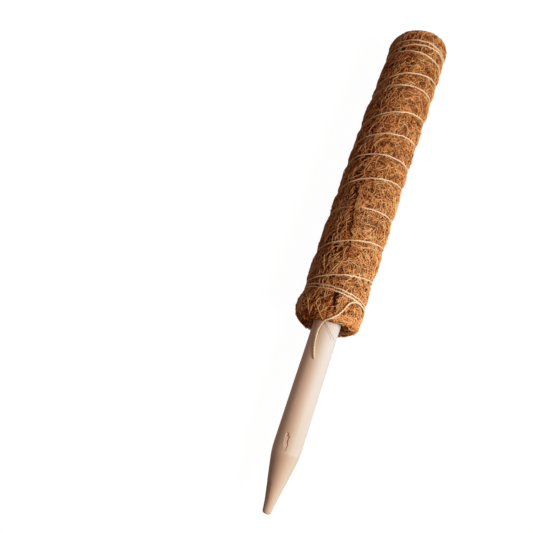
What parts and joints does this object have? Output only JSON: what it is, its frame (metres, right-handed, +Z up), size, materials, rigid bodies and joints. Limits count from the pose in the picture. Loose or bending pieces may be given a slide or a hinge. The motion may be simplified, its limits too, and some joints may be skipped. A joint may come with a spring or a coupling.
{
  "type": "moss pole",
  "caption": "Coir moss pole: a pointed round wooden stake with a rolled coconut-fibre mat on its upper part, bound with a spiral of twine, to be pushed into a pot for climbing plants.",
  "frame": {"origin": "middle of the pole's length, on the ground line of the flat that it lies on", "axes": "+X along the pole from the stake's point to the mat's upper end, +Z up from the flat that it lies on"},
  "size_m": [0.4, 0.0501, 0.0488],
  "materials": {
    "stake_wood": "smooth turned softwood, unvarnished, pale cream with a few tan streaks",
    "coir": "matted coconut fibre, curly strands with open pits",
    "twine": "plain twisted natural-fibre twine with a little fuzz"
  },
  "bodies": {
    "root": {"stake": "stake_wood", "coir_mat": "coir", "twine_winding": "twine", "lower_knot": "twine", "upper_knot": "twine", "twine_tail": "twine"}
  },
  "joints": []
}
